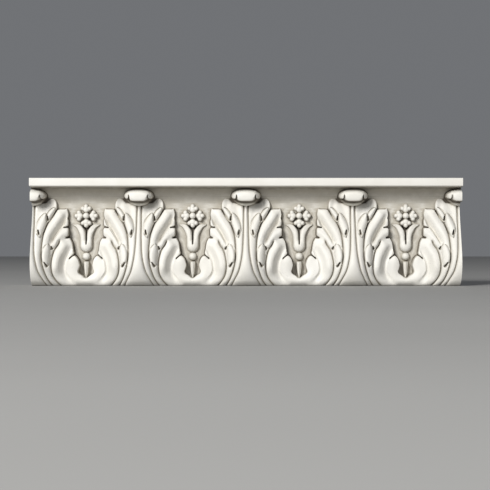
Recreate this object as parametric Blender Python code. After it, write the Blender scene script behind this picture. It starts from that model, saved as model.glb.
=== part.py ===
"""Acanthus leaf moulding, cast in plaster as one piece, in metres with +Z up.

The front faces -Y and the length runs along X. A flat fillet runs along the top over a cove.
Under it four equal leaves stand side by side, cut square through the middle of a leaf at each end,
and between two leaves a flower rises from a calyx, a bead and a spear. One half of a repeat is
worked out as a relief, from the middle of a leaf to the middle of a flower, and mirrored along.
"""

import math

import bmesh
import bpy
import numpy as np
from mathutils import Vector

# Driving sizes of the moulding
REPEAT = 0.108
REPEATS = 4
HEIGHT = 0.108
DEPTH = 0.046
FILLET_HEIGHT = 0.008
FILLET_LIP = 0.002
COVE_HEIGHT = 0.017
BACK_THICKNESS = 0.013
CAVITY_DEPTH = 0.004

# Worked out from them
HALF = REPEAT / 2
LEAF_HEIGHT = HEIGHT - FILLET_HEIGHT
FIELD = DEPTH - BACK_THICKNESS
LENGTH = REPEAT * REPEATS

# The carver's unit, a hundred-and-eighth of a repeat: widths and heights of the carving are in it
UNIT = REPEAT / 108

# How finely the relief is worked out, and how many triangles of a half repeat are kept
CELL = HALF / 72
HALF_TRIANGLES = 1120

NAME = "acanthus_moulding"
PLASTER_COLOR = (0.86, 0.83, 0.76, 1.0)
PLASTER_ROUGHNESS = 0.6
SMOOTH_ANGLE = math.radians(40)
WELD = 1e-6
EPS = 1e-9

# The leaf's midrib from the bottom up: share of the leaf's height, share of the field's depth
MIDRIB = [
    (0.0, 0.58), (0.05, 0.385), (0.12, 0.23), (0.21, 0.15), (0.31, 0.18), (0.41, 0.30),
    (0.51, 0.43), (0.61, 0.57), (0.71, 0.685), (0.80, 0.765), (0.90, 0.83), (1.0, 0.88),
]
TIP_DEPTH_LOW = 0.71
TIP_DEPTH_HIGH = 0.81
LEAF_REACH = 0.78

# The leaf's edge from the curl down to the bowl, tooth by tooth, with a notch between two teeth.
# Places on the face are (share of the half repeat, share of the leaf's height).
TEETH = [
    [(0.25, 0.84), (0.30, 0.868), (0.335, 0.88), (0.391, 0.882), (0.436, 0.858), (0.456, 0.817),
     (0.452, 0.776), (0.433, 0.75)],
    [(0.436, 0.747), (0.479, 0.771), (0.555, 0.776), (0.61, 0.776), (0.645, 0.783)],
    [(0.645, 0.783), (0.66, 0.754), (0.668, 0.72), (0.655, 0.682)],
    [(0.655, 0.682), (0.672, 0.652), (0.665, 0.611), (0.635, 0.599), (0.58, 0.593)],
    [(0.58, 0.586), (0.64, 0.587), (0.67, 0.58), (0.677, 0.55), (0.67, 0.505), (0.625, 0.49)],
    [(0.625, 0.48), (0.66, 0.481), (0.699, 0.483)],
    [(0.699, 0.483), (0.735, 0.447), (0.752, 0.407), (0.762, 0.366), (0.775, 0.332),
     (0.755, 0.308), (0.69, 0.28)],
    [(0.69, 0.27), (0.755, 0.3), (0.803, 0.303), (0.853, 0.271), (0.879, 0.223), (0.881, 0.199),
     (0.853, 0.148)],
    [(0.853, 0.148), (0.867, 0.127), (0.931, 0.103), (0.968, 0.086), (1.0, 0.079)],
]
EDGE_ROUND = 1.8
EDGE_DROP = 1.5
EDGE_WIDTH = 0.8
EDGE_OUTWARD = 0.4
BEYOND = 0.2

# How the casting rounds under at its bottom edge: how high up it starts, and how far it goes back
UNDER_EDGE = (6.0, 5.0)

# Grooves between the main parts of the leaf: line, width and depth in units, fade at each end
GROOVES = [
    ([(0.04, 0.835), (0.04, 0.8), (0.044, 0.644), (0.05, 0.481), (0.071, 0.312),
      (0.127, 0.163), (0.202, 0.074), (0.285, -0.01)], 0.75, 4.2, (0.0, 0.0)),
    ([(0.436, 0.752), (0.345, 0.678), (0.282, 0.618), (0.238, 0.558), (0.204, 0.47),
      (0.19, 0.312), (0.219, 0.196), (0.294, 0.074), (0.39, -0.01)], 0.85, 5.4, (0.0, 0.0)),
    ([(0.545, 0.478), (0.524, 0.464), (0.484, 0.413), (0.421, 0.359), (0.384, 0.291),
      (0.365, 0.21), (0.384, 0.122), (0.446, 0.054), (0.54, -0.005)], 0.85, 5.4, (0.1, 0.0)),
]

# A groove's section: share of the sharp cut, share of its soft shoulders, their rounding and reach
GROOVE_SECTION = (0.55, 0.45, 0.15, 2.2)

# Hollows beside the crests of the two large lobes: crest, widths along it, depth, fades
CHANNELS = [
    ([(0.6, 0.79), (0.581, 0.742), (0.545, 0.693), (0.493, 0.645), (0.43, 0.591),
      (0.382, 0.543), (0.338, 0.489), (0.3, 0.43), (0.27, 0.38)],
     (4.4, 7.4, 6.0, 4.0), 5.2, (0.35, 0.25)),
    ([(0.7, 0.46), (0.64, 0.41), (0.583, 0.345), (0.52, 0.28), (0.498, 0.22), (0.495, 0.16),
      (0.52, 0.11), (0.59, 0.055), (0.66, 0.015), (0.76, -0.03)],
     (7.5, 8.2, 7.6, 6.5), 3.1, (0.25, 0.3)),
]

CREST_ROUND = 0.05
CHANNEL_FULL = 2.1
CHANNEL_BANK = 3

# Soft swellings and, with a negative height, dishes: line, width at each end, height, fades
SWELLS = [
    ([(0.55, 0.76), (0.49, 0.69), (0.41, 0.62), (0.33, 0.545), (0.28, 0.48), (0.25, 0.42)],
     (4.6, 2.6), 2.0, (0.1, 0.3)),
    ([(0.65, 0.45), (0.55, 0.35), (0.5, 0.28), (0.475, 0.21), (0.47, 0.15), (0.51, 0.09)],
     (4.4, 4.0), 3.0, (0.15, 0.3)),
    ([(0.65, 0.545), (0.56, 0.515), (0.47, 0.45), (0.42, 0.38)], (3.8, 1.6), 2.0, (0.0, 0.2)),
    ([(0.79, 0.26), (0.745, 0.2), (0.75, 0.13), (0.82, 0.075), (1.0, 0.05)],
     (5.6, 3.6), 1.7, (0.0, 0.0)),
    ([(0.8, 0.01), (0.9, -0.005), (1.0, -0.01)], (2.2, 2.6), -1.8, (0.4, 0.0)),
    ([(0.24, 0.86), (0.17, 0.77), (0.12, 0.66), (0.1, 0.58)], (5.5, 1.8), -1.9, (0.0, 0.4)),
    ([(0.36, 0.855), (0.36, 0.8)], (2.8, 2.8), -1.2, (0.0, 0.0)),
]

# Small leaves that lie on the large one: spine, half width, height, bluntness of the ends
LEAFLETS = [
    ([(0.288, 0.64), (0.325, 0.7), (0.385, 0.76), (0.42, 0.79)], 2.8, 2.6, 0.5),
    ([(0.15, 0.49), (0.165, 0.58), (0.205, 0.66), (0.25, 0.735)], 4.0, 2.7, 0.6),
    ([(0.3, 0.2), (0.275, 0.28), (0.285, 0.35), (0.315, 0.42)], 3.6, 2.1, 0.45),
]

LEAFLET_CROWN = 0.5
LEAFLET_LEAST = 0.01

# The cut round a small leaf: its place and width in shares of the half width, and its depth
LEAFLET_MOAT = (1.2, 0.18, 1.3)

# Eyes drilled where two lobes meet: from, to, and the drill's radius and depth in units
EYES = [
    [(0.126, 0.56), (0.137, 0.522)],
    [(0.367, 0.394), (0.38, 0.374)],
    [(0.255, 0.234), (0.296, 0.2)],
    [(0.285, 0.7), (0.291, 0.665)],
]
EYE_RADII = (0.55, 1.15)
EYE_DEPTH = 6.0

# The curl at the leaf's tip. Heights on the leaf are shares of its height, depths of the field's
CURL_UP = 0.908
CURL_RADII = (14.6, 0.0655)
CURL_POWER = 2.3
CURL_DEPTH = 0.16
CURL_BACK = 0.40
CURL_FOOT = 0.8
CURL_LOBE = 9.4
CURL_SIDE = (12.0, 2.6, 2.0)
CURL_LIP = (0.852, 0.022, 0.9)
CURL_SIDE_LIP = (0.876, 0.02)
CURL_NOTCH = ((0.925, 0.86), (0.2, 1.3), 9.0)
CURL_HANG = 1.2
CURL_HANG_FROM = (0.55, 0.35, 4.0)
CURL_UNDER = (13.0, 0.87, 0.066, 1.5)
CURL_UNDER_DEPTH = (0.52, 0.27)

# The flower between two leaves: its height, then its eye's radius, rise and start before the field
FLOWER_UP = 0.708
FLOWER_EYE = (3.3, 4.2, 4.0)

# A petal: its body's reach and radius, its lobes (aside, reach, radius), how softly they join,
# its edge's width, height and start, and the reach, width and depth of the gap to the next petal
PETAL_BODY = (6.2, 3.3)
PETAL_LOBES = [(3.3, 7.3, 2.5), (0.0, 9.7, 2.5)]
PETAL_JOIN = 0.3
PETAL_EDGE = (1.8, 4.6, 1.4)
PETAL_GAP = (6.0, 0.9, 5.0)

# The calyx: a petal's spine, its half width, rise and dish along it, its section and the cup
CALYX = [
    (0.061, 0.4), (0.061, 0.45), (0.063, 0.5), (0.085, 0.548), (0.122, 0.583), (0.172, 0.606),
    (0.25, 0.619),
]
CALYX_WIDTHS = [(0.0, 2.9), (0.35, 3.1), (0.6, 3.4), (0.8, 2.5), (1.0, 0.5)]
CALYX_RISES = [(0.0, 5.0), (0.7, 4.8), (1.0, 3.2)]
CALYX_SECTION = (3.0, 0.6)
CALYX_DISH = (0.45, 0.3, 1.6)
CALYX_CUP = (0.405, 6.4, 0.068, 6.4, 1.2)
CALYX_JOIN = 1.0

# The slit between the calyx's petals (from, to, half width, depth), how softly it ends and how
# steep its sides are, and the fork at its top (from, run, how much wider)
SLIT = (0.413, 0.63, 0.5, 6.0)
SLIT_FADE = (1.5, 1.6)
SLIT_FORK = (0.55, 0.05, 2.6)

# The bead (height, radius, half height, rise), the spear (top, end, half width, rise) with its
# taper, edge and ridge, and the hollow behind it (top, end, half width, wall, ease at the top)
BEAD = (0.298, 4.3, 0.041, 5.4)
SPEAR = (0.246, 0.08, 2.7, 3.6)
SPEAR_TAPER = (0.8, 2.3)
SPEAR_EDGE = (0.7, 20.0, 0.6)
CAVITY = (0.285, 0.055, 8.6, 2.2, 0.25)


def smooth(share):
    """Ease a share from 0 to 1."""
    t = np.clip(share, 0, 1)
    return t * t * (3 - 2 * t)


def spline(points, steps=8):
    """Smooth curve through all the points."""
    p = np.array(points, float)
    ends = np.vstack([2 * p[0] - p[1], p, 2 * p[-1] - p[-2]])
    t = np.linspace(0, 1, steps, endpoint=False)[:, None]
    runs = []
    for a, b, c, d in zip(ends, ends[1:], ends[2:], ends[3:]):
        bend = (2 * a - 5 * b + 4 * c - d) * t ** 2 + (3 * b - a - 3 * c + d) * t ** 3
        runs.append(0.5 * (2 * b + (c - a) * t + bend))
    return np.vstack(runs + [p[-1:]])


def line_on_face(points):
    """Smooth curve on the face, in metres, through places given as shares."""
    return spline(points) * (HALF, LEAF_HEIGHT)


def nearest(curve, u, z):
    """Distance to a curve, the share of its length reached there, and the side it lies on."""
    steps = np.hypot(*np.diff(curve, axis=0).T)
    reach = np.concatenate([[0], np.cumsum(steps)]) / steps.sum()
    best = np.full(u.shape, np.inf)
    along = np.zeros(u.shape)
    side = np.zeros(u.shape)
    for i, (du, dz) in enumerate(np.diff(curve, axis=0)):
        across, up = u - curve[i, 0], z - curve[i, 1]
        t = np.clip((across * du + up * dz) / max(du * du + dz * dz, EPS ** 2), 0, 1)
        gap = np.hypot(across - t * du, up - t * dz)
        closer = gap < best
        best = np.where(closer, gap, best)
        along = np.where(closer, reach[i] + t * (reach[i + 1] - reach[i]), along)
        side = np.where(closer, np.sign(dz * across - du * up), side)
    return best, along, side


def inside(loop, u, z):
    """Whether each place lies inside a closed loop."""
    hit = np.zeros(u.shape, bool)
    for (u0, z0), (u1, z1) in zip(loop, np.roll(loop, -1, axis=0)):
        if z0 == z1:
            continue
        crosses = (z0 > z) != (z1 > z)
        hit ^= crosses & (u < u0 + (z - z0) * (u1 - u0) / (z1 - z0))
    return hit


def taper(along, fades):
    """Fade a stroke in over a share of its length at its start and out at its end."""
    start, end = fades
    kept = smooth(along / start) if start else 1.0
    return kept * (smooth((1 - along) / end) if end else 1.0)


def groove(u, z, points, width, depth, fades):
    """A narrow cut with soft shoulders."""
    gap, along, _ = nearest(line_on_face(points), u, z)
    gap = gap / (width * UNIT)
    sharp, soft, rounding, reach = GROOVE_SECTION
    cut = sharp * np.exp(-gap ** 2) + soft * np.exp(-np.hypot(gap, rounding) / reach)
    return depth * UNIT * taper(along, fades) * cut


def channel(u, z, points, widths, depth, fades):
    """A hollow beside a crest: steep off the crest and easing out at its far bank."""
    gap, along, side = nearest(line_on_face(points), u, z)
    width = np.interp(along, np.linspace(0, 1, len(widths)), widths) * UNIT
    t = np.clip(-side * gap / width, 0, 1)
    hollow = CHANNEL_FULL * t ** 2 / (t + CREST_ROUND) * (1 - t ** CHANNEL_BANK)
    return depth * UNIT * taper(along, fades) * hollow


def swell(u, z, points, widths, height, fades):
    """A soft ridge along a line."""
    gap, along, _ = nearest(line_on_face(points), u, z)
    width = np.interp(along, (0, 1), widths) * UNIT
    return height * UNIT * taper(along, fades) * np.exp(-(gap / width) ** 2)


def leaflet(u, z, points, half_width, height, blunt):
    """A raised pointed oval along a spine."""
    gap, along, _ = nearest(line_on_face(points), u, z)
    width = half_width * UNIT * np.maximum(np.sin(np.pi * along), LEAFLET_LEAST) ** blunt
    t = gap / width
    moat_at, moat_width, moat_depth = LEAFLET_MOAT
    moat = moat_depth * UNIT * np.exp(-((t - moat_at) / moat_width) ** 2)
    return height * UNIT * (1 - np.clip(t, 0, 1) ** 2) ** LEAFLET_CROWN - moat


def boss(across, up, radii, back, rise, flat=1.0):
    """Depth of a rounded boss around the origin of across and up, far back where it ends."""
    q = (across / radii[0]) ** 2 + (up / radii[1]) ** 2
    front = back - rise * np.sqrt(1 - np.clip(q, 0, 1) ** flat)
    return np.where(q < 1, front, DEPTH)


def blend(a, b, radius):
    """The nearer of two depths, filled smoothly where they meet."""
    t = np.clip(0.5 + (b - a) / (2 * radius), 0, 1)
    return b + (a - b) * t - radius * t * (1 - t)


def leaf_body(u, z):
    """The swelling leaf before it is carved: its midrib stands out and its tips lie back."""
    up = z / LEAF_HEIGHT
    rib = spline(MIDRIB)
    midrib = np.interp(up, rib[:, 0], rib[:, 1]) * FIELD
    tips = (TIP_DEPTH_LOW + (TIP_DEPTH_HIGH - TIP_DEPTH_LOW) * up) * FIELD
    return midrib + (tips - midrib) * smooth(u / (LEAF_REACH * HALF))


def carving(u, z):
    """How much deeper than the leaf's body the carved leaf lies."""
    depth = np.zeros(u.shape)
    for stroke in GROOVES:
        depth += groove(u, z, *stroke)
    for stroke in CHANNELS:
        depth += channel(u, z, *stroke)
    for stroke in SWELLS:
        depth -= swell(u, z, *stroke)
    for stroke in LEAFLETS:
        depth -= leaflet(u, z, *stroke)
    for eye in EYES:
        depth += swell(u, z, eye, EYE_RADII, EYE_DEPTH, (0.0, 0.0))
    return depth


def leaf_edge():
    """Closed loop around half a leaf, in metres."""
    before = [(-BEYOND, -BEYOND), (-BEYOND, TEETH[0][0][1])]
    after = [(1 + BEYOND, TEETH[-1][-1][1]), (1 + BEYOND, -BEYOND)]
    teeth = [spline(tooth) for tooth in TEETH]
    return np.vstack([before] + teeth + [after]) * (HALF, LEAF_HEIGHT)


def leaf(u, z, ground):
    """The carved leaf with its rounded, toothed edge, over the ground it stands on."""
    loop = leaf_edge()
    gap, _, _ = nearest(loop, u, z)
    gap = np.where(inside(loop, u, z), gap, -gap)
    in_edge = 1 - np.clip(gap / (EDGE_ROUND * UNIT), 0, 1)
    front = leaf_body(u, z) + carving(u, z) + EDGE_DROP * UNIT * (1 - np.sqrt(1 - in_edge ** 2))
    kept = smooth(gap / (EDGE_WIDTH * UNIT) + EDGE_OUTWARD)
    return ground + (np.minimum(front, ground) - ground) * kept


def ground_depth(u, z):
    """The cove under the fillet, the field below it and the hollow behind the spear."""
    cove_end = LEAF_HEIGHT - COVE_HEIGHT
    in_cove = np.clip((z - cove_end) / COVE_HEIGHT, 0, 1)
    cove_back = FIELD - FILLET_LIP
    cove = FILLET_LIP + (cove_back - FILLET_LIP) * np.sqrt(1 - in_cove ** 2)
    field = cove + (FIELD - cove_back) * smooth((cove_end - z) / COVE_HEIGHT)
    return field + CAVITY_DEPTH * cavity(u, z)


def cavity(u, z):
    """The hollow behind the spear, as a share of its depth."""
    top, end, half_width, slope, ease = CAVITY
    off_axis = HALF - u
    floor_rise = (z - end * LEAF_HEIGHT) - np.maximum(off_axis - UNIT, 0)
    roof_drop = ease * (top * LEAF_HEIGHT - z)
    walls = np.minimum(np.minimum(floor_rise, roof_drop), half_width * UNIT - off_axis)
    return np.clip(walls / (slope * UNIT), 0, 1)


def flower(u, z):
    """Four petals of three rounded lobes each around a round eye."""
    off_axis = HALF - u
    up = z - FLOWER_UP * LEAF_HEIGHT
    radius, rise, start = FLOWER_EYE
    eye = boss(off_axis, up, (radius * UNIT, radius * UNIT), FIELD - start * UNIT, rise * UNIT)
    forward = np.maximum(np.abs(off_axis), np.abs(up)) / UNIT
    aside = np.minimum(np.abs(off_axis), np.abs(up)) / UNIT
    reach, size = PETAL_BODY
    outside = np.hypot(aside, forward - reach) - size
    for lean, reach, size in PETAL_LOBES:
        outside = blend(outside, np.hypot(aside - lean, forward - reach) - size, PETAL_JOIN)
    edge, height, start = PETAL_EDGE
    in_edge = 1 - np.clip(-outside / edge, 0, 1)
    petals = FIELD - start * UNIT - height * UNIT * np.sqrt(1 - in_edge ** 2)
    reach, width, cut = PETAL_GAP
    near_eye = smooth(2 - forward / reach)
    petals = petals + cut * UNIT * near_eye * np.exp(-((forward - aside) / width) ** 2)
    return np.minimum(eye, np.where(outside < 0, petals, DEPTH))


def calyx(u, z):
    """Two long petals that flare from a round cup."""
    off_axis = HALF - u
    petal = spline(CALYX) * (HALF, LEAF_HEIGHT)
    gap, along, _ = nearest(petal, off_axis, z)
    width = np.interp(along, *zip(*CALYX_WIDTHS)) * UNIT
    t = np.clip(gap / width, 0, 1)
    start, run, dish = CALYX_DISH
    flat, crown = CALYX_SECTION
    rise = np.interp(along, *zip(*CALYX_RISES)) * (1 - t ** flat) ** crown
    rise = rise - dish * smooth((along - start) / run) * (1 - t ** 2) ** 2
    petals = np.where(gap < width, FIELD - rise * UNIT, DEPTH)
    cup_up, cup_radius, cup_height, cup_rise, cup_flat = CALYX_CUP
    radii = (cup_radius * UNIT, cup_height * LEAF_HEIGHT)
    cup = boss(off_axis, z - cup_up * LEAF_HEIGHT, radii, FIELD, cup_rise * UNIT, cup_flat)
    return blend(petals, cup, CALYX_JOIN * UNIT)


def slit(u, z):
    """The deep slit between the calyx's petals, forked at its top."""
    low, high, half_width, cut = SLIT
    fade, spread = SLIT_FADE
    ends = smooth((z - low * LEAF_HEIGHT) / (fade * UNIT))
    ends = ends * smooth((high * LEAF_HEIGHT - z) / (fade * UNIT))
    fork_up, fork_run, fork_width = SLIT_FORK
    width = half_width + fork_width * smooth((z / LEAF_HEIGHT - fork_up) / fork_run)
    return cut * UNIT * ends * smooth(spread - (HALF - u) / (width * UNIT))


def bead_and_spear(u, z):
    """The bead under the calyx and the spear that hangs from it into the bowl."""
    off_axis = HALF - u
    up, radius, height, rise = BEAD
    radii = (radius * UNIT, height * LEAF_HEIGHT)
    bead = boss(off_axis, z - up * LEAF_HEIGHT, radii, FIELD, rise * UNIT)
    top, end, half_width, spear_rise = SPEAR
    down = (top * LEAF_HEIGHT - z) / ((top - end) * LEAF_HEIGHT)
    narrowing, power = SPEAR_TAPER
    width = half_width * UNIT * (1 - narrowing * np.clip(down, 0, 1) ** power)
    edge, start, ridge = SPEAR_EDGE
    kept = smooth((width - off_axis) / (edge * UNIT) + 0.5) * smooth(start * down + 0.5)
    kept = kept * smooth(start * (1 - down) + 0.5)
    back = FIELD + CAVITY_DEPTH
    spear = back + (FIELD - spear_rise * UNIT + ridge * off_axis - back) * kept
    return np.minimum(bead, np.where(kept > 0, spear, DEPTH))


def curl_outline(u, z):
    """Less than 1 within the curl's outline."""
    half_width, half_height = CURL_RADII
    across = (u / (half_width * UNIT)) ** CURL_POWER
    return across + np.abs((z / LEAF_HEIGHT - CURL_UP) / half_height) ** CURL_POWER


def curl(u, z):
    """The leaf's tip curled over: a broad lobe, a small one beside it and the shade under them."""
    up = z / LEAF_HEIGHT
    q = curl_outline(u, z)
    rounding = 1 - np.sqrt(1 - np.clip(q, 0, 1) ** 2)
    side, side_half, step = CURL_SIDE
    front = (CURL_DEPTH + CURL_BACK * rounding) * FIELD
    front = front + step * UNIT * smooth((u - CURL_LOBE * UNIT) / (step * UNIT))
    across = CURL_LOBE * UNIT / HALF
    notch_ends, notch_widths, notch_depth = CURL_NOTCH
    notch = [(across, notch_end) for notch_end in notch_ends]
    front = front + swell(u, z, notch, notch_widths, notch_depth, (0.0, 0.0))
    lip, lip_rise, lip_edge = CURL_LIP
    side_lip, side_rise = CURL_SIDE_LIP
    central = lip + lip_rise * (u / (CURL_LOBE * UNIT)) ** 4
    beside = side_lip + side_rise * np.abs((u / UNIT - side) / side_half) ** 3
    lower_edge = np.where(u < CURL_LOBE * UNIT, central, beside) * LEAF_HEIGHT
    under_width, under_up, under_height, under_power = CURL_UNDER
    below = np.clip((under_up - up) / under_height, 0, 1)
    q_under = (u / (under_width * UNIT)) ** under_power + below ** under_power
    start, fall = CURL_UNDER_DEPTH
    under = (start + fall * (1 - np.sqrt(np.clip(1 - q_under, 0, 1)))) * FIELD
    under = np.where((q_under < 1) & (up < CURL_UP), under, DEPTH)
    back = np.minimum(under, CURL_FOOT * FIELD)
    kept = smooth((z - lower_edge) / (lip_edge * UNIT) + 0.5)
    return np.minimum(under, np.where(q < 1, back + (front - back) * kept, DEPTH))


def curl_hang(u, z, depth):
    """How far the curl's front hangs down over the leaf behind it."""
    deepest, fade, soft = CURL_HANG_FROM
    stands_out = smooth((deepest - depth / FIELD) / fade)
    return CURL_HANG * UNIT * stands_out * smooth(soft * (1 - curl_outline(u, z)))


def face_depth(u, z):
    """Depth behind the fillet's face, at u from the midrib and z above the bottom."""
    depth = np.minimum(ground_depth(u, z), calyx(u, z)) + slit(u, z)
    depth = np.minimum(depth, np.minimum(flower(u, z), bead_and_spear(u, z)))
    depth = leaf(u, z, depth)
    height, back = UNDER_EDGE
    low = np.clip(1 - z / (height * UNIT), 0, 1)
    depth = depth + back * UNIT * (1 - np.sqrt(1 - low ** 2))
    return np.minimum(depth, curl(u, z))


def half_sheet():
    """The relief of half a repeat as an open sheet, thinned to the triangles that are kept."""
    columns = round(HALF / CELL) + 1
    rows = round(LEAF_HEIGHT / CELL) + 1
    across = np.linspace(0, HALF, columns)
    u, z = np.meshgrid(across, np.linspace(0, LEAF_HEIGHT, rows), indexing="ij")
    depth = face_depth(u, z)
    points = np.stack([u, depth, z - curl_hang(u, z, depth)], axis=-1).reshape(-1, 3)
    first = (np.arange(columns - 1)[:, None] * rows + np.arange(rows - 1)).ravel()
    faces = np.stack([first, first + rows, first + rows + 1, first + 1], axis=-1)
    mesh = bpy.data.meshes.new("half_sheet")
    mesh.from_pydata(points.tolist(), [], faces.tolist())
    sheet = bpy.data.objects.new("half_sheet", mesh)
    bpy.context.collection.objects.link(sheet)
    thin = sheet.modifiers.new("thin", "DECIMATE")
    thin.ratio = HALF_TRIANGLES / (2 * len(faces))
    graph = bpy.context.evaluated_depsgraph_get()
    thinned = bpy.data.meshes.new_from_object(sheet.evaluated_get(graph))
    bpy.data.objects.remove(sheet)
    return thinned


def snap_border(sheet):
    """Lay the border of the thinned sheet exactly on the planes it meets, its corners first."""
    rim = [vert for vert in sheet.verts if vert.is_boundary]
    for x in (0.0, HALF):
        for z in (0.0, LEAF_HEIGHT):
            corner = min(rim, key=lambda vert: math.hypot(vert.co.x - x, vert.co.z - z))
            corner.co = (x, corner.co.y if z == 0 else FILLET_LIP, z)
            rim.remove(corner)
    planes = [(0, 0.0), (0, HALF), (2, 0.0), (2, LEAF_HEIGHT)]
    for vert in rim:
        axis, plane = min(planes, key=lambda item: abs(vert.co[item[0]] - item[1]))
        vert.co[axis] = plane
        if plane == LEAF_HEIGHT:
            vert.co.y = FILLET_LIP


def run_along(sheet):
    """Mirror the half sheet about the midrib and repeat it along the length."""
    half = sheet.verts[:] + sheet.edges[:] + sheet.faces[:]
    first_verts = sheet.verts[:]
    for number in range(2 * REPEATS):
        copy = bmesh.ops.duplicate(sheet, geom=half)["geom"]
        start = number * HALF - LENGTH / 2
        for vert in (item for item in copy if isinstance(item, bmesh.types.BMVert)):
            vert.co.x = start + (vert.co.x if number % 2 == 0 else HALF - vert.co.x)
    bmesh.ops.delete(sheet, geom=first_verts)
    bmesh.ops.remove_doubles(sheet, verts=sheet.verts[:], dist=WELD)


def border(sheet, axis, plane):
    """The border's edges that lie in a plane."""
    on = [edge for edge in sheet.edges if edge.is_boundary]
    return [edge for edge in on if all(abs(vert.co[axis] - plane) < WELD for vert in edge.verts)]


def walk(edges):
    """The vertices of a chain of edges, in order from one end."""
    left = set(edges)
    verts = {vert for edge in edges for vert in edge.verts}
    at = next(vert for vert in verts if sum(edge in left for edge in vert.link_edges) == 1)
    path = [at]
    while left:
        edge = next(edge for edge in at.link_edges if edge in left)
        left.remove(edge)
        at = edge.other_vert(at)
        path.append(at)
    return path


def raise_edges(sheet, edges, offset):
    """Extrude a chain of edges by an offset."""
    grown = bmesh.ops.extrude_edge_only(sheet, edges=edges)["geom"]
    for vert in (item for item in grown if isinstance(item, bmesh.types.BMVert)):
        vert.co += Vector(offset)
    return [item for item in grown if isinstance(item, bmesh.types.BMEdge)]


def close_solid(sheet):
    """Raise the fillet from the top of the cove, then add the flat underside, top, ends and back."""
    lip = raise_edges(sheet, border(sheet, 2, LEAF_HEIGHT), (0, -FILLET_LIP, 0))
    raise_edges(sheet, lip, (0, 0, FILLET_HEIGHT))
    corners = {}
    for x in (-LENGTH / 2, LENGTH / 2):
        for z in (0, HEIGHT):
            corners[(x, z)] = sheet.verts.new((x, DEPTH, z))
    chains = [walk(border(sheet, 2, z)) for z in (0, HEIGHT)]
    chains += [walk(border(sheet, 0, x)) for x in (-LENGTH / 2, LENGTH / 2)]
    for path in chains:
        ends = [corners[nearest_corner(vert.co)] for vert in (path[-1], path[0])]
        sheet.faces.new(path + ends)
    low_left, high_left, low_right, high_right = corners.values()
    sheet.faces.new((low_left, high_left, high_right, low_right))
    bmesh.ops.recalc_face_normals(sheet, faces=sheet.faces[:])


def nearest_corner(place):
    """The corner of the back behind the end of a border."""
    return (math.copysign(LENGTH / 2, place.x), 0 if place.z < HEIGHT / 2 else HEIGHT)


def plaster():
    """Warm white cast plaster."""
    material = bpy.data.materials.new("plaster")
    material.use_nodes = True
    shader = material.node_tree.nodes["Principled BSDF"]
    shader.inputs["Base Color"].default_value = PLASTER_COLOR
    shader.inputs["Roughness"].default_value = PLASTER_ROUGHNESS
    return material


def build_moulding():
    """The whole casting, standing on its underside with its length centred."""
    sheet = bmesh.new()
    sheet.from_mesh(half_sheet())
    snap_border(sheet)
    run_along(sheet)
    close_solid(sheet)
    bmesh.ops.translate(sheet, verts=sheet.verts[:], vec=(0, -DEPTH / 2, 0))
    mesh = bpy.data.meshes.new(NAME)
    sheet.to_mesh(mesh)
    sheet.free()
    mesh.shade_smooth()
    mesh.set_sharp_from_angle(angle=SMOOTH_ANGLE)
    mesh.materials.append(plaster())
    moulding = bpy.data.objects.new(NAME, mesh)
    bpy.context.collection.objects.link(moulding)


def main():
    for old in list(bpy.data.objects):
        bpy.data.objects.remove(old, do_unlink=True)
    build_moulding()


main()
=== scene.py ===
"""The plaster acanthus moulding dressed for its picture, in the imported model's frame, in metres.

The casting is one piece with the solid's own form. Its relief is worked out by the same rules at a
finer pitch, its fillet has softly rounded edges, and its plaster is made of procedural nodes.
"""

import math

import bmesh
import bpy
import numpy as np
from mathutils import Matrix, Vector


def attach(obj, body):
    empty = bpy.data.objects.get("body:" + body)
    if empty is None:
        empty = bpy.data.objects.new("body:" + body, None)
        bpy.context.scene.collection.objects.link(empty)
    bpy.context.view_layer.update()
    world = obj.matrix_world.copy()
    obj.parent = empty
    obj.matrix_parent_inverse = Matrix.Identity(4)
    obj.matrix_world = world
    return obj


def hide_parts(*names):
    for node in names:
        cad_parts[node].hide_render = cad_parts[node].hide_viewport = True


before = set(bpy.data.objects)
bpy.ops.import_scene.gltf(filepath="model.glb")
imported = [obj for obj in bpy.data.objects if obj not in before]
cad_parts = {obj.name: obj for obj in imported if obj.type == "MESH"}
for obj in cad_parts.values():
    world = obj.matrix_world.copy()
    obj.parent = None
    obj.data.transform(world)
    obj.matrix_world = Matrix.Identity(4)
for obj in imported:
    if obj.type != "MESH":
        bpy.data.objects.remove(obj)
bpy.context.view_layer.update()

# Driving sizes of the moulding
REPEAT = 0.108
REPEATS = 4
HEIGHT = 0.108
DEPTH = 0.046
FILLET_HEIGHT = 0.008
FILLET_LIP = 0.002
COVE_HEIGHT = 0.017
BACK_THICKNESS = 0.013
CAVITY_DEPTH = 0.004

# Worked out from them
HALF = REPEAT / 2
LEAF_HEIGHT = HEIGHT - FILLET_HEIGHT
FIELD = DEPTH - BACK_THICKNESS
LENGTH = REPEAT * REPEATS

# The carver's unit, a hundred-and-eighth of a repeat: widths and heights of the carving are in it
UNIT = REPEAT / 108

# How finely the relief is worked out, and how many triangles of a half repeat are kept
CELL = HALF / 150
HALF_TRIANGLES = 24000

SMOOTH_ANGLE = math.radians(40)
WELD = 1e-6
EPS = 1e-9

# The leaf's midrib from the bottom up: share of the leaf's height, share of the field's depth
MIDRIB = [
    (0.0, 0.58), (0.05, 0.385), (0.12, 0.23), (0.21, 0.15), (0.31, 0.18), (0.41, 0.30),
    (0.51, 0.43), (0.61, 0.57), (0.71, 0.685), (0.80, 0.765), (0.90, 0.83), (1.0, 0.88),
]
TIP_DEPTH_LOW = 0.71
TIP_DEPTH_HIGH = 0.81
LEAF_REACH = 0.78

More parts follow.
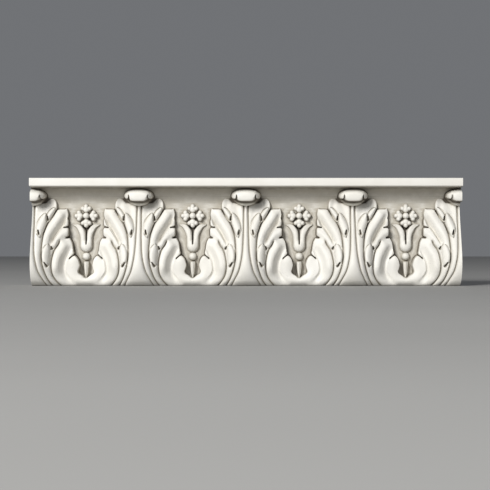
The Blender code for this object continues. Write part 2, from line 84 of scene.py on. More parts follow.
# The leaf's edge from the curl down to the bowl, tooth by tooth, with a notch between two teeth.
# Places on the face are (share of the half repeat, share of the leaf's height).
TEETH = [
    [(0.25, 0.84), (0.30, 0.868), (0.335, 0.88), (0.391, 0.882), (0.436, 0.858), (0.456, 0.817),
     (0.452, 0.776), (0.433, 0.75)],
    [(0.436, 0.747), (0.479, 0.771), (0.555, 0.776), (0.61, 0.776), (0.645, 0.783)],
    [(0.645, 0.783), (0.66, 0.754), (0.668, 0.72), (0.655, 0.682)],
    [(0.655, 0.682), (0.672, 0.652), (0.665, 0.611), (0.635, 0.599), (0.58, 0.593)],
    [(0.58, 0.586), (0.64, 0.587), (0.67, 0.58), (0.677, 0.55), (0.67, 0.505), (0.625, 0.49)],
    [(0.625, 0.48), (0.66, 0.481), (0.699, 0.483)],
    [(0.699, 0.483), (0.735, 0.447), (0.752, 0.407), (0.762, 0.366), (0.775, 0.332),
     (0.755, 0.308), (0.69, 0.28)],
    [(0.69, 0.27), (0.755, 0.3), (0.803, 0.303), (0.853, 0.271), (0.879, 0.223), (0.881, 0.199),
     (0.853, 0.148)],
    [(0.853, 0.148), (0.867, 0.127), (0.931, 0.103), (0.968, 0.086), (1.0, 0.079)],
]
EDGE_ROUND = 1.8
EDGE_DROP = 1.5
EDGE_WIDTH = 0.8
EDGE_OUTWARD = 0.4
BEYOND = 0.2

# How the casting rounds under at its bottom edge: how high up it starts, and how far it goes back
UNDER_EDGE = (6.0, 5.0)

# Grooves between the main parts of the leaf: line, width and depth in units, fade at each end
GROOVES = [
    ([(0.04, 0.835), (0.04, 0.8), (0.044, 0.644), (0.05, 0.481), (0.071, 0.312),
      (0.127, 0.163), (0.202, 0.074), (0.285, -0.01)], 0.75, 4.2, (0.0, 0.0)),
    ([(0.436, 0.752), (0.345, 0.678), (0.282, 0.618), (0.238, 0.558), (0.204, 0.47),
      (0.19, 0.312), (0.219, 0.196), (0.294, 0.074), (0.39, -0.01)], 0.85, 5.4, (0.0, 0.0)),
    ([(0.545, 0.478), (0.524, 0.464), (0.484, 0.413), (0.421, 0.359), (0.384, 0.291),
      (0.365, 0.21), (0.384, 0.122), (0.446, 0.054), (0.54, -0.005)], 0.85, 5.4, (0.1, 0.0)),
]

# A groove's section: share of the sharp cut, share of its soft shoulders, their rounding and reach
GROOVE_SECTION = (0.55, 0.45, 0.15, 2.2)

# Hollows beside the crests of the two large lobes: crest, widths along it, depth, fades
CHANNELS = [
    ([(0.6, 0.79), (0.581, 0.742), (0.545, 0.693), (0.493, 0.645), (0.43, 0.591),
      (0.382, 0.543), (0.338, 0.489), (0.3, 0.43), (0.27, 0.38)],
     (4.4, 7.4, 6.0, 4.0), 5.2, (0.35, 0.25)),
    ([(0.7, 0.46), (0.64, 0.41), (0.583, 0.345), (0.52, 0.28), (0.498, 0.22), (0.495, 0.16),
      (0.52, 0.11), (0.59, 0.055), (0.66, 0.015), (0.76, -0.03)],
     (7.5, 8.2, 7.6, 6.5), 3.1, (0.25, 0.3)),
]

CREST_ROUND = 0.05
CHANNEL_FULL = 2.1
CHANNEL_BANK = 3

# Soft swellings and, with a negative height, dishes: line, width at each end, height, fades
SWELLS = [
    ([(0.55, 0.76), (0.49, 0.69), (0.41, 0.62), (0.33, 0.545), (0.28, 0.48), (0.25, 0.42)],
     (4.6, 2.6), 2.0, (0.1, 0.3)),
    ([(0.65, 0.45), (0.55, 0.35), (0.5, 0.28), (0.475, 0.21), (0.47, 0.15), (0.51, 0.09)],
     (4.4, 4.0), 3.0, (0.15, 0.3)),
    ([(0.65, 0.545), (0.56, 0.515), (0.47, 0.45), (0.42, 0.38)], (3.8, 1.6), 2.0, (0.0, 0.2)),
    ([(0.79, 0.26), (0.745, 0.2), (0.75, 0.13), (0.82, 0.075), (1.0, 0.05)],
     (5.6, 3.6), 1.7, (0.0, 0.0)),
    ([(0.8, 0.01), (0.9, -0.005), (1.0, -0.01)], (2.2, 2.6), -1.8, (0.4, 0.0)),
    ([(0.24, 0.86), (0.17, 0.77), (0.12, 0.66), (0.1, 0.58)], (5.5, 1.8), -1.9, (0.0, 0.4)),
    ([(0.36, 0.855), (0.36, 0.8)], (2.8, 2.8), -1.2, (0.0, 0.0)),
]

# Small leaves that lie on the large one: spine, half width, height, bluntness of the ends
LEAFLETS = [
    ([(0.288, 0.64), (0.325, 0.7), (0.385, 0.76), (0.42, 0.79)], 2.8, 2.6, 0.5),
    ([(0.15, 0.49), (0.165, 0.58), (0.205, 0.66), (0.25, 0.735)], 4.0, 2.7, 0.6),
    ([(0.3, 0.2), (0.275, 0.28), (0.285, 0.35), (0.315, 0.42)], 3.6, 2.1, 0.45),
]

LEAFLET_CROWN = 0.5
LEAFLET_LEAST = 0.01

# The cut round a small leaf: its place and width in shares of the half width, and its depth
LEAFLET_MOAT = (1.2, 0.18, 1.3)

# Eyes drilled where two lobes meet: from, to, and the drill's radius and depth in units
EYES = [
    [(0.126, 0.56), (0.137, 0.522)],
    [(0.367, 0.394), (0.38, 0.374)],
    [(0.255, 0.234), (0.296, 0.2)],
    [(0.285, 0.7), (0.291, 0.665)],
]
EYE_RADII = (0.55, 1.15)
EYE_DEPTH = 6.0

# The curl at the leaf's tip. Heights on the leaf are shares of its height, depths of the field's
CURL_UP = 0.908
CURL_RADII = (14.6, 0.0655)
CURL_POWER = 2.3
CURL_DEPTH = 0.16
CURL_BACK = 0.40
CURL_FOOT = 0.8
CURL_LOBE = 9.4
CURL_SIDE = (12.0, 2.6, 2.0)
CURL_LIP = (0.852, 0.022, 0.9)
CURL_SIDE_LIP = (0.876, 0.02)
CURL_NOTCH = ((0.925, 0.86), (0.2, 1.3), 9.0)
CURL_HANG = 1.2
CURL_HANG_FROM = (0.55, 0.35, 4.0)
CURL_UNDER = (13.0, 0.87, 0.066, 1.5)
CURL_UNDER_DEPTH = (0.52, 0.27)

# The flower between two leaves: its height, then its eye's radius, rise and start before the field
FLOWER_UP = 0.708
FLOWER_EYE = (3.3, 4.2, 4.0)

# A petal: its body's reach and radius, its lobes (aside, reach, radius), how softly they join,
# its edge's width, height and start, and the reach, width and depth of the gap to the next petal
PETAL_BODY = (6.2, 3.3)
PETAL_LOBES = [(3.3, 7.3, 2.5), (0.0, 9.7, 2.5)]
PETAL_JOIN = 0.3
PETAL_EDGE = (1.8, 4.6, 1.4)
PETAL_GAP = (6.0, 0.9, 5.0)

# The calyx: a petal's spine, its half width, rise and dish along it, its section and the cup
CALYX = [
    (0.061, 0.4), (0.061, 0.45), (0.063, 0.5), (0.085, 0.548), (0.122, 0.583), (0.172, 0.606),
    (0.25, 0.619),
]
CALYX_WIDTHS = [(0.0, 2.9), (0.35, 3.1), (0.6, 3.4), (0.8, 2.5), (1.0, 0.5)]
CALYX_RISES = [(0.0, 5.0), (0.7, 4.8), (1.0, 3.2)]
CALYX_SECTION = (3.0, 0.6)
CALYX_DISH = (0.45, 0.3, 1.6)
CALYX_CUP = (0.405, 6.4, 0.068, 6.4, 1.2)
CALYX_JOIN = 1.0

# The slit between the calyx's petals (from, to, half width, depth), how softly it ends and how
# steep its sides are, and the fork at its top (from, run, how much wider)
SLIT = (0.413, 0.63, 0.5, 6.0)
SLIT_FADE = (1.5, 1.6)
SLIT_FORK = (0.55, 0.05, 2.6)

# The bead (height, radius, half height, rise), the spear (top, end, half width, rise) with its
# taper, edge and ridge, and the hollow behind it (top, end, half width, wall, ease at the top)
BEAD = (0.298, 4.3, 0.041, 5.4)
SPEAR = (0.246, 0.08, 2.7, 3.6)
SPEAR_TAPER = (0.8, 2.3)
SPEAR_EDGE = (0.7, 20.0, 0.6)
CAVITY = (0.285, 0.055, 8.6, 2.2, 0.25)

# Colours of the plaster, linear; the grey beige and dark beige are painted shade
WHITE = (0.80, 0.785, 0.745, 1)
CREAM = (0.755, 0.735, 0.685, 1)
GREY_WHITE = (0.70, 0.68, 0.63, 1)
GREY_BEIGE = (0.46, 0.43, 0.37, 1)
DARK_BEIGE = (0.13, 0.11, 0.085, 1)

# Painted shade in the plaster's colour: in creases, for lying below its surroundings near by (how
# far round is looked, the depth that counts as full, the share it adds) and further out
NEAR_REACH = 0.0011
NEAR_DEPTH = 0.0021
NEAR_SHARE = 0.95
WIDE_REACH = 0.006
WIDE_DEPTH = 0.012
WIDE_SHARE = 0.34

# Painted shade under the fillet, fading downwards, and only behind the curls' fronts
COVE_FADE = 0.0066
COVE_FROM = 0.007

# Painted shade in the drilled eyes: widths of the shaded patch at each end of an eye
EYE_SHADE_WIDTHS = (0.6, 1.2)

# Painted shade, darker towards the field: the depth where that starts, and how dark it is at the
# field
SUNK_FROM = 0.024
SUNK_SHARE = 0.26

# Painted shade on the leaf under a curl: how dark, its rise to full below the curl's middle, the
# depth where it starts and its run (shares of the field's depth), and its end and fade outside the
# curl
CURL_SHADE = 0.75
CURL_SHADE_RISE = 0.04
CURL_SHADE_FROM = (0.4, 0.15)
CURL_SHADE_END = 1.9
CURL_SHADE_FADE = 0.7

# Less painted shade in the hollow behind the spear, and on the curls down to a depth
CAVITY_PALE = 0.75
CURL_PALE = 0.85
CURL_PALE_END = 0.016
CURL_PALE_FADE = 0.006

# Where the relief keeps its finest triangles: in creases by KEEP times their darkness, everywhere
# at least KEEP_BASE and in the cove at least KEEP_COVE, in steps, and how strongly that counts
KEEP = 4.0
KEEP_LEVELS = 12
KEEP_BASE = 0.4
KEEP_FACTOR = 0.0001
KEEP_COVE = 0.8

# How far inside the last cell of the grid a place is held
CELL_MARGIN = 1.001

# The plaster's front. A noise is (scale, detail, roughness), a span is (from, to, result at from,
# result at to), a grain is (noise, height in metres, strength) and a pit is (scale, size).
CLOUD_NOISE = (24, 5)
CLOUD_SPAN = (0.35, 0.7)
PATCH_NOISE = (140, 6, 0.6)
PATCH_SPAN = (0.2, 0.75, 0.85, 1.1)
# The painted shade's shares where it turns grey beige, and where it turns dark beige
SHADE_SPAN = (0.03, 0.55)
DARK_SPAN = (0.5, 1.0)
# Pinholes: their dark beige is painted shade in the pits
PINHOLES = (620, 0.16)
PINHOLE_NOISE = (45, 2)
PINHOLE_SPAN = (0.55, 0.62)
PINHOLE_BUMP = (0.0003, 0.6)
FACE_MATT_NOISE = (90, 5)
FACE_MATT_SPAN = (0.3, 0.7, 0.5, 0.66)
FACE_SPECULAR = 0.4
FACE_GRAINS = [((60, 4), 0.0006, 0.35), ((1500, 3, 0.6), 0.00012, 0.5)]

# The plain sides: drag marks along the length, and air holes in patches with painted shade in them
DRAG_NOISE = (70, 6, 0.6, (0.12, 1, 1))
DRAG_SPAN = (0.3, 0.7)
DRAG_MATT_SPAN = (0.3, 0.7, 0.7, 0.88)
DRAG_BUMP = (0.0012, 0.6)
AIR_HOLES = (150, 0.2)
AIR_HOLE_NOISE = (20, 2)
AIR_HOLE_SPAN = (0.5, 0.58)
AIR_HOLE_BUMP = (0.001, 0.8)
BACK_SPECULAR = 0.3
BACK_GRAIN = ((900, 4, 0.65), 0.0003, 0.6)
BACK_SLOT = 1

# Softly rounded edges of the fillet
FILLET_ROUND = 0.0007
FILLET_STEPS = 4

# The stage: floor, lights (place, size, power, colour) and the camera of the photograph
FLOOR_HALF = 4.0
FLOOR_PALE = (0.40, 0.398, 0.39, 1)
FLOOR_DARK = (0.38, 0.377, 0.37, 1)
FLOOR_NOISE = (1.5, 3)
FLOOR_SPAN = (0.3, 0.7)
FLOOR_MATT = 0.85
FLOOR_SPECULAR = 0.2
MIDDLE = Vector((0, 0, 0.05))
KEY = ((-1.75, -3.3, 1.6), 1.2, 179.0, (1.0, 0.99, 0.965))
FILL = ((1.4, -3.2, 1.0), 2.4, 8.0, (0.95, 0.97, 1.0))
WORLD_COLOR = (0.82, 0.85, 0.9, 1)
WORLD_STRENGTH = 0.2
CAMERA_LENS = 113.7
CAMERA_SENSOR = 36
CAMERA_PLACE = (-0.001, -1.563, 0.0412)


def smooth(share):
    """Ease a share from 0 to 1."""
    t = np.clip(share, 0, 1)
    return t * t * (3 - 2 * t)


def spline(points, steps=8):
    """Smooth curve through all the points."""
    p = np.array(points, float)
    ends = np.vstack([2 * p[0] - p[1], p, 2 * p[-1] - p[-2]])
    t = np.linspace(0, 1, steps, endpoint=False)[:, None]
    runs = []
    for a, b, c, d in zip(ends, ends[1:], ends[2:], ends[3:]):
        bend = (2 * a - 5 * b + 4 * c - d) * t ** 2 + (3 * b - a - 3 * c + d) * t ** 3
        runs.append(0.5 * (2 * b + (c - a) * t + bend))
    return np.vstack(runs + [p[-1:]])


def line_on_face(points):
    """Smooth curve on the face, in metres, through places given as shares."""
    return spline(points) * (HALF, LEAF_HEIGHT)


def nearest(curve, u, z):
    """Distance to a curve, the share of its length reached there, and the side it lies on."""
    steps = np.hypot(*np.diff(curve, axis=0).T)
    reach = np.concatenate([[0], np.cumsum(steps)]) / steps.sum()
    best = np.full(u.shape, np.inf)
    along = np.zeros(u.shape)
    side = np.zeros(u.shape)
    for i, (du, dz) in enumerate(np.diff(curve, axis=0)):
        across, up = u - curve[i, 0], z - curve[i, 1]
        t = np.clip((across * du + up * dz) / max(du * du + dz * dz, EPS ** 2), 0, 1)
        gap = np.hypot(across - t * du, up - t * dz)
        closer = gap < best
        best = np.where(closer, gap, best)
        along = np.where(closer, reach[i] + t * (reach[i + 1] - reach[i]), along)
        side = np.where(closer, np.sign(dz * across - du * up), side)
    return best, along, side


def inside(loop, u, z):
    """Whether each place lies inside a closed loop."""
    hit = np.zeros(u.shape, bool)
    for (u0, z0), (u1, z1) in zip(loop, np.roll(loop, -1, axis=0)):
        if z0 == z1:
            continue
        crosses = (z0 > z) != (z1 > z)
        hit ^= crosses & (u < u0 + (z - z0) * (u1 - u0) / (z1 - z0))
    return hit


def taper(along, fades):
    """Fade a stroke in over a share of its length at its start and out at its end."""
    start, end = fades
    kept = smooth(along / start) if start else 1.0
    return kept * (smooth((1 - along) / end) if end else 1.0)


def groove(u, z, points, width, depth, fades):
    """A narrow cut with soft shoulders."""
    gap, along, _ = nearest(line_on_face(points), u, z)
    gap = gap / (width * UNIT)
    sharp, soft, rounding, reach = GROOVE_SECTION
    cut = sharp * np.exp(-gap ** 2) + soft * np.exp(-np.hypot(gap, rounding) / reach)
    return depth * UNIT * taper(along, fades) * cut


def channel(u, z, points, widths, depth, fades):
    """A hollow beside a crest: steep off the crest and easing out at its far bank."""
    gap, along, side = nearest(line_on_face(points), u, z)
    width = np.interp(along, np.linspace(0, 1, len(widths)), widths) * UNIT
    t = np.clip(-side * gap / width, 0, 1)
    hollow = CHANNEL_FULL * t ** 2 / (t + CREST_ROUND) * (1 - t ** CHANNEL_BANK)
    return depth * UNIT * taper(along, fades) * hollow


def swell(u, z, points, widths, height, fades):
    """A soft ridge along a line."""
    gap, along, _ = nearest(line_on_face(points), u, z)
    width = np.interp(along, (0, 1), widths) * UNIT
    return height * UNIT * taper(along, fades) * np.exp(-(gap / width) ** 2)


def leaflet(u, z, points, half_width, height, blunt):
    """A raised pointed oval along a spine."""
    gap, along, _ = nearest(line_on_face(points), u, z)
    width = half_width * UNIT * np.maximum(np.sin(np.pi * along), LEAFLET_LEAST) ** blunt
    t = gap / width
    moat_at, moat_width, moat_depth = LEAFLET_MOAT
    moat = moat_depth * UNIT * np.exp(-((t - moat_at) / moat_width) ** 2)
    return height * UNIT * (1 - np.clip(t, 0, 1) ** 2) ** LEAFLET_CROWN - moat


def boss(across, up, radii, back, rise, flat=1.0):
    """Depth of a rounded boss around the origin of across and up, far back where it ends."""
    q = (across / radii[0]) ** 2 + (up / radii[1]) ** 2
    front = back - rise * np.sqrt(1 - np.clip(q, 0, 1) ** flat)
    return np.where(q < 1, front, DEPTH)


def blend(a, b, radius):
    """The nearer of two depths, filled smoothly where they meet."""
    t = np.clip(0.5 + (b - a) / (2 * radius), 0, 1)
    return b + (a - b) * t - radius * t * (1 - t)


def leaf_body(u, z):
    """The swelling leaf before it is carved: its midrib stands out and its tips lie back."""
    up = z / LEAF_HEIGHT
    rib = spline(MIDRIB)
    midrib = np.interp(up, rib[:, 0], rib[:, 1]) * FIELD
    tips = (TIP_DEPTH_LOW + (TIP_DEPTH_HIGH - TIP_DEPTH_LOW) * up) * FIELD
    return midrib + (tips - midrib) * smooth(u / (LEAF_REACH * HALF))


def carving(u, z):
    """How much deeper than the leaf's body the carved leaf lies."""
    depth = np.zeros(u.shape)
    for stroke in GROOVES:
        depth += groove(u, z, *stroke)
    for stroke in CHANNELS:
        depth += channel(u, z, *stroke)
    for stroke in SWELLS:
        depth -= swell(u, z, *stroke)
    for stroke in LEAFLETS:
        depth -= leaflet(u, z, *stroke)
    for eye in EYES:
        depth += swell(u, z, eye, EYE_RADII, EYE_DEPTH, (0.0, 0.0))
    return depth


def leaf_edge():
    """Closed loop around half a leaf, in metres."""
    before = [(-BEYOND, -BEYOND), (-BEYOND, TEETH[0][0][1])]
    after = [(1 + BEYOND, TEETH[-1][-1][1]), (1 + BEYOND, -BEYOND)]
    teeth = [spline(tooth) for tooth in TEETH]
    return np.vstack([before] + teeth + [after]) * (HALF, LEAF_HEIGHT)


def leaf(u, z, ground):
    """The carved leaf with its rounded, toothed edge, over the ground it stands on."""
    loop = leaf_edge()
    gap, _, _ = nearest(loop, u, z)
    gap = np.where(inside(loop, u, z), gap, -gap)
    in_edge = 1 - np.clip(gap / (EDGE_ROUND * UNIT), 0, 1)
    front = leaf_body(u, z) + carving(u, z) + EDGE_DROP * UNIT * (1 - np.sqrt(1 - in_edge ** 2))
    kept = smooth(gap / (EDGE_WIDTH * UNIT) + EDGE_OUTWARD)
    return ground + (np.minimum(front, ground) - ground) * kept


def ground_depth(u, z):
    """The cove under the fillet, the field below it and the hollow behind the spear."""
    cove_end = LEAF_HEIGHT - COVE_HEIGHT
    in_cove = np.clip((z - cove_end) / COVE_HEIGHT, 0, 1)
    cove_back = FIELD - FILLET_LIP
    cove = FILLET_LIP + (cove_back - FILLET_LIP) * np.sqrt(1 - in_cove ** 2)
    field = cove + (FIELD - cove_back) * smooth((cove_end - z) / COVE_HEIGHT)
    return field + CAVITY_DEPTH * cavity(u, z)


def cavity(u, z):
    """The hollow behind the spear, as a share of its depth."""
    top, end, half_width, slope, ease = CAVITY
    off_axis = HALF - u
    floor_rise = (z - end * LEAF_HEIGHT) - np.maximum(off_axis - UNIT, 0)
    roof_drop = ease * (top * LEAF_HEIGHT - z)
    walls = np.minimum(np.minimum(floor_rise, roof_drop), half_width * UNIT - off_axis)
    return np.clip(walls / (slope * UNIT), 0, 1)


def flower(u, z):
    """Four petals of three rounded lobes each around a round eye."""
    off_axis = HALF - u
    up = z - FLOWER_UP * LEAF_HEIGHT
    radius, rise, start = FLOWER_EYE
    eye = boss(off_axis, up, (radius * UNIT, radius * UNIT), FIELD - start * UNIT, rise * UNIT)
    forward = np.maximum(np.abs(off_axis), np.abs(up)) / UNIT
    aside = np.minimum(np.abs(off_axis), np.abs(up)) / UNIT
    reach, size = PETAL_BODY
    outside = np.hypot(aside, forward - reach) - size
    for lean, reach, size in PETAL_LOBES:
        outside = blend(outside, np.hypot(aside - lean, forward - reach) - size, PETAL_JOIN)
    edge, height, start = PETAL_EDGE
    in_edge = 1 - np.clip(-outside / edge, 0, 1)
    petals = FIELD - start * UNIT - height * UNIT * np.sqrt(1 - in_edge ** 2)
    reach, width, cut = PETAL_GAP
    near_eye = smooth(2 - forward / reach)
    petals = petals + cut * UNIT * near_eye * np.exp(-((forward - aside) / width) ** 2)
    return np.minimum(eye, np.where(outside < 0, petals, DEPTH))


def calyx(u, z):
    """Two long petals that flare from a round cup."""
    off_axis = HALF - u
    petal = spline(CALYX) * (HALF, LEAF_HEIGHT)
    gap, along, _ = nearest(petal, off_axis, z)
    width = np.interp(along, *zip(*CALYX_WIDTHS)) * UNIT
    t = np.clip(gap / width, 0, 1)
    start, run, dish = CALYX_DISH
    flat, crown = CALYX_SECTION
    rise = np.interp(along, *zip(*CALYX_RISES)) * (1 - t ** flat) ** crown
    rise = rise - dish * smooth((along - start) / run) * (1 - t ** 2) ** 2
    petals = np.where(gap < width, FIELD - rise * UNIT, DEPTH)
    cup_up, cup_radius, cup_height, cup_rise, cup_flat = CALYX_CUP
    radii = (cup_radius * UNIT, cup_height * LEAF_HEIGHT)
    cup = boss(off_axis, z - cup_up * LEAF_HEIGHT, radii, FIELD, cup_rise * UNIT, cup_flat)
    return blend(petals, cup, CALYX_JOIN * UNIT)


def slit(u, z):
    """The deep slit between the calyx's petals, forked at its top."""
    low, high, half_width, cut = SLIT
    fade, spread = SLIT_FADE
    ends = smooth((z - low * LEAF_HEIGHT) / (fade * UNIT))
    ends = ends * smooth((high * LEAF_HEIGHT - z) / (fade * UNIT))
    fork_up, fork_run, fork_width = SLIT_FORK
    width = half_width + fork_width * smooth((z / LEAF_HEIGHT - fork_up) / fork_run)
    return cut * UNIT * ends * smooth(spread - (HALF - u) / (width * UNIT))


def bead_and_spear(u, z):
    """The bead under the calyx and the spear that hangs from it into the bowl."""
    off_axis = HALF - u
    up, radius, height, rise = BEAD
    radii = (radius * UNIT, height * LEAF_HEIGHT)
    bead = boss(off_axis, z - up * LEAF_HEIGHT, radii, FIELD, rise * UNIT)
    top, end, half_width, spear_rise = SPEAR
    down = (top * LEAF_HEIGHT - z) / ((top - end) * LEAF_HEIGHT)
    narrowing, power = SPEAR_TAPER
    width = half_width * UNIT * (1 - narrowing * np.clip(down, 0, 1) ** power)
    edge, start, ridge = SPEAR_EDGE
    kept = smooth((width - off_axis) / (edge * UNIT) + 0.5) * smooth(start * down + 0.5)
    kept = kept * smooth(start * (1 - down) + 0.5)
    back = FIELD + CAVITY_DEPTH
    spear = back + (FIELD - spear_rise * UNIT + ridge * off_axis - back) * kept
    return np.minimum(bead, np.where(kept > 0, spear, DEPTH))


def curl_outline(u, z):
    """Less than 1 within the curl's outline."""
    half_width, half_height = CURL_RADII
    across = (u / (half_width * UNIT)) ** CURL_POWER
    return across + np.abs((z / LEAF_HEIGHT - CURL_UP) / half_height) ** CURL_POWER


def curl(u, z):
    """The leaf's tip curled over: a broad lobe, a small one beside it and the shade under them."""
    up = z / LEAF_HEIGHT
    q = curl_outline(u, z)
    rounding = 1 - np.sqrt(1 - np.clip(q, 0, 1) ** 2)
    side, side_half, step = CURL_SIDE
    front = (CURL_DEPTH + CURL_BACK * rounding) * FIELD
    front = front + step * UNIT * smooth((u - CURL_LOBE * UNIT) / (step * UNIT))
    across = CURL_LOBE * UNIT / HALF
    notch_ends, notch_widths, notch_depth = CURL_NOTCH
    notch = [(across, notch_end) for notch_end in notch_ends]
    front = front + swell(u, z, notch, notch_widths, notch_depth, (0.0, 0.0))
    lip, lip_rise, lip_edge = CURL_LIP
    side_lip, side_rise = CURL_SIDE_LIP
    central = lip + lip_rise * (u / (CURL_LOBE * UNIT)) ** 4
    beside = side_lip + side_rise * np.abs((u / UNIT - side) / side_half) ** 3
    lower_edge = np.where(u < CURL_LOBE * UNIT, central, beside) * LEAF_HEIGHT
    under_width, under_up, under_height, under_power = CURL_UNDER
    below = np.clip((under_up - up) / under_height, 0, 1)
    q_under = (u / (under_width * UNIT)) ** under_power + below ** under_power
    start, fall = CURL_UNDER_DEPTH
    under = (start + fall * (1 - np.sqrt(np.clip(1 - q_under, 0, 1)))) * FIELD
    under = np.where((q_under < 1) & (up < CURL_UP), under, DEPTH)
    back = np.minimum(under, CURL_FOOT * FIELD)
    kept = smooth((z - lower_edge) / (lip_edge * UNIT) + 0.5)
    return np.minimum(under, np.where(q < 1, back + (front - back) * kept, DEPTH))


def curl_hang(u, z, depth):
    """How far the curl's front hangs down over the leaf behind it."""
    deepest, fade, soft = CURL_HANG_FROM
    stands_out = smooth((deepest - depth / FIELD) / fade)
    return CURL_HANG * UNIT * stands_out * smooth(soft * (1 - curl_outline(u, z)))


def face_depth(u, z):
    """Depth behind the fillet's face, at u from the midrib and z above the bottom."""
    depth = np.minimum(ground_depth(u, z), calyx(u, z)) + slit(u, z)
    depth = np.minimum(depth, np.minimum(flower(u, z), bead_and_spear(u, z)))
    depth = leaf(u, z, depth)
    height, back = UNDER_EDGE
    low = np.clip(1 - z / (height * UNIT), 0, 1)
    depth = depth + back * UNIT * (1 - np.sqrt(1 - low ** 2))
    return np.minimum(depth, curl(u, z))


def fine_grid():
    """The places of the relief's grid and its depth at each of them."""
    columns = round(HALF / CELL) + 1
    rows = round(LEAF_HEIGHT / CELL) + 1
    across, up = np.linspace(0, HALF, columns), np.linspace(0, LEAF_HEIGHT, rows)
    u, z = np.meshgrid(across, up, indexing="ij")
    return u, z, face_depth(u, z)


def half_sheet(u, z, depth):
    """The relief of half a repeat as an open sheet, thinned to the triangles that are kept."""
    columns, rows = u.shape
    points = np.stack([u, depth, z - curl_hang(u, z, depth)], axis=-1).reshape(-1, 3)
    first = (np.arange(columns - 1)[:, None] * rows + np.arange(rows - 1)).ravel()
    faces = np.stack([first, first + rows, first + rows + 1, first + 1], axis=-1)
    mesh = bpy.data.meshes.new("half_sheet")
    mesh.from_pydata(points.tolist(), [], faces.tolist())
    sheet = bpy.data.objects.new("half_sheet", mesh)
    bpy.context.collection.objects.link(sheet)
    keep = sheet.vertex_groups.new(name="keep")
    wanted = KEEP_BASE + (1 - KEEP_BASE) * np.clip(KEEP * painted_shade_map(u, z, depth), 0, 1)
    wanted = np.maximum(wanted, KEEP_COVE * smooth((z - LEAF_HEIGHT) / COVE_HEIGHT + 2))
    weights = np.round(wanted * KEEP_LEVELS).astype(int).ravel()
    for level in range(KEEP_LEVELS + 1):
        keep.add(np.flatnonzero(weights == level).tolist(), level / KEEP_LEVELS, "REPLACE")
    thin = sheet.modifiers.new("thin", "DECIMATE")
    thin.vertex_group = "keep"
    thin.vertex_group_factor = KEEP_FACTOR
    thin.invert_vertex_group = True
    thin.ratio = HALF_TRIANGLES / (2 * len(faces))
    graph = bpy.context.evaluated_depsgraph_get()
    thinned = bpy.data.meshes.new_from_object(sheet.evaluated_get(graph))
    bpy.data.objects.remove(sheet)
    return thinned


def blurred(values, cells):
    """A grid of values averaged over a square of cells, mirrored at its edges."""
    window = 2 * cells + 1
    for axis in (0, 1):
        pads = [(cells + 1, cells) if side == axis else (0, 0) for side in (0, 1)]
        total = np.cumsum(np.pad(values, pads, mode="symmetric"), axis=axis)
        high = np.take(total, range(window, total.shape[axis]), axis=axis)
        low = np.take(total, range(total.shape[axis] - window), axis=axis)
        values = (high - low) / window
    return values


def painted_shade_map(u, z, depth):
    """How much painted shade each place of the relief gets, from 0 on the crests to 1 in the deep
    hollows.
    """
    # Painted shade in creases near by and further out, under the fillet, in the slit and drilled
    # eyes and under the curls, less in the hollow behind the spear and on the curls
    near = depth - blurred(depth, round(NEAR_REACH / CELL))
    wide_cells = round(WIDE_REACH / CELL)
    wide = depth - blurred(blurred(depth, wide_cells), wide_cells)
    shares = NEAR_SHARE * np.clip(near / NEAR_DEPTH, 0, 1)
    shares = shares + WIDE_SHARE * np.clip(wide / WIDE_DEPTH, 0, 1)
    # Painted shade under the fillet, fading downwards
    under_fillet = np.exp((z - LEAF_HEIGHT) / COVE_FADE) * smooth((depth - COVE_FROM) / COVE_FADE)
    # Painted shade in the slit and the drilled eyes, none on the flower
    drilled = np.where(flower(u, z) < DEPTH, 0, slit(u, z) / (SLIT[-1] * UNIT))
    for eye in EYES:
        drilled = np.maximum(drilled, swell(u, z, eye, EYE_SHADE_WIDTHS, 1.0, (0.0, 0.0)) / UNIT)
    # Painted shade on the leaf under the curl
    start, run = CURL_SHADE_FROM
    outline = curl_outline(u, z)
    behind_curl = smooth((CURL_SHADE_END - outline) / CURL_SHADE_FADE)
    lower_half = smooth((CURL_UP - z / LEAF_HEIGHT) / CURL_SHADE_RISE)
    under_curl = CURL_SHADE * behind_curl * lower_half * smooth((depth / FIELD - start) / run)
    # How much of the painted shade is kept: less in the hollow behind the spear and on the curls
    on_curl = np.where(outline < 1, smooth((CURL_PALE_END - depth) / CURL_PALE_FADE), 0)
    shade_kept = (1 - CAVITY_PALE * cavity(u, z)) * (1 - CURL_PALE * on_curl)
    shares = np.maximum(blurred(shares, 1) * shade_kept + under_curl, under_fillet)
    return np.clip(np.maximum(shares, drilled), 0, 1)


def sampled(grid, x, z):
    """Values of a half repeat's grid at places along the whole moulding."""
    u = np.abs((x + LENGTH / 2 + HALF) % REPEAT - HALF)
    columns, rows = grid.shape
    column = np.clip(u / HALF * (columns - 1), 0, columns - CELL_MARGIN)
    row = np.clip(z / LEAF_HEIGHT * (rows - 1), 0, rows - CELL_MARGIN)
    i, j = column.astype(int), row.astype(int)
    p, q = column - i, row - j
    low = grid[i, j] * (1 - p) + grid[i + 1, j] * p
    high = grid[i, j + 1] * (1 - p) + grid[i + 1, j + 1] * p
    return low * (1 - q) + high * q


def snap_border(sheet):
    """Lay the border of the thinned sheet exactly on the planes it meets, its corners first."""
    rim = [vert for vert in sheet.verts if vert.is_boundary]
    for x in (0.0, HALF):
        for z in (0.0, LEAF_HEIGHT):
            corner = min(rim, key=lambda vert: math.hypot(vert.co.x - x, vert.co.z - z))
            corner.co = (x, corner.co.y if z == 0 else FILLET_LIP, z)
            rim.remove(corner)
    planes = [(0, 0.0), (0, HALF), (2, 0.0), (2, LEAF_HEIGHT)]
    for vert in rim:
        axis, plane = min(planes, key=lambda item: abs(vert.co[item[0]] - item[1]))
        vert.co[axis] = plane
        if plane == LEAF_HEIGHT:
            vert.co.y = FILLET_LIP


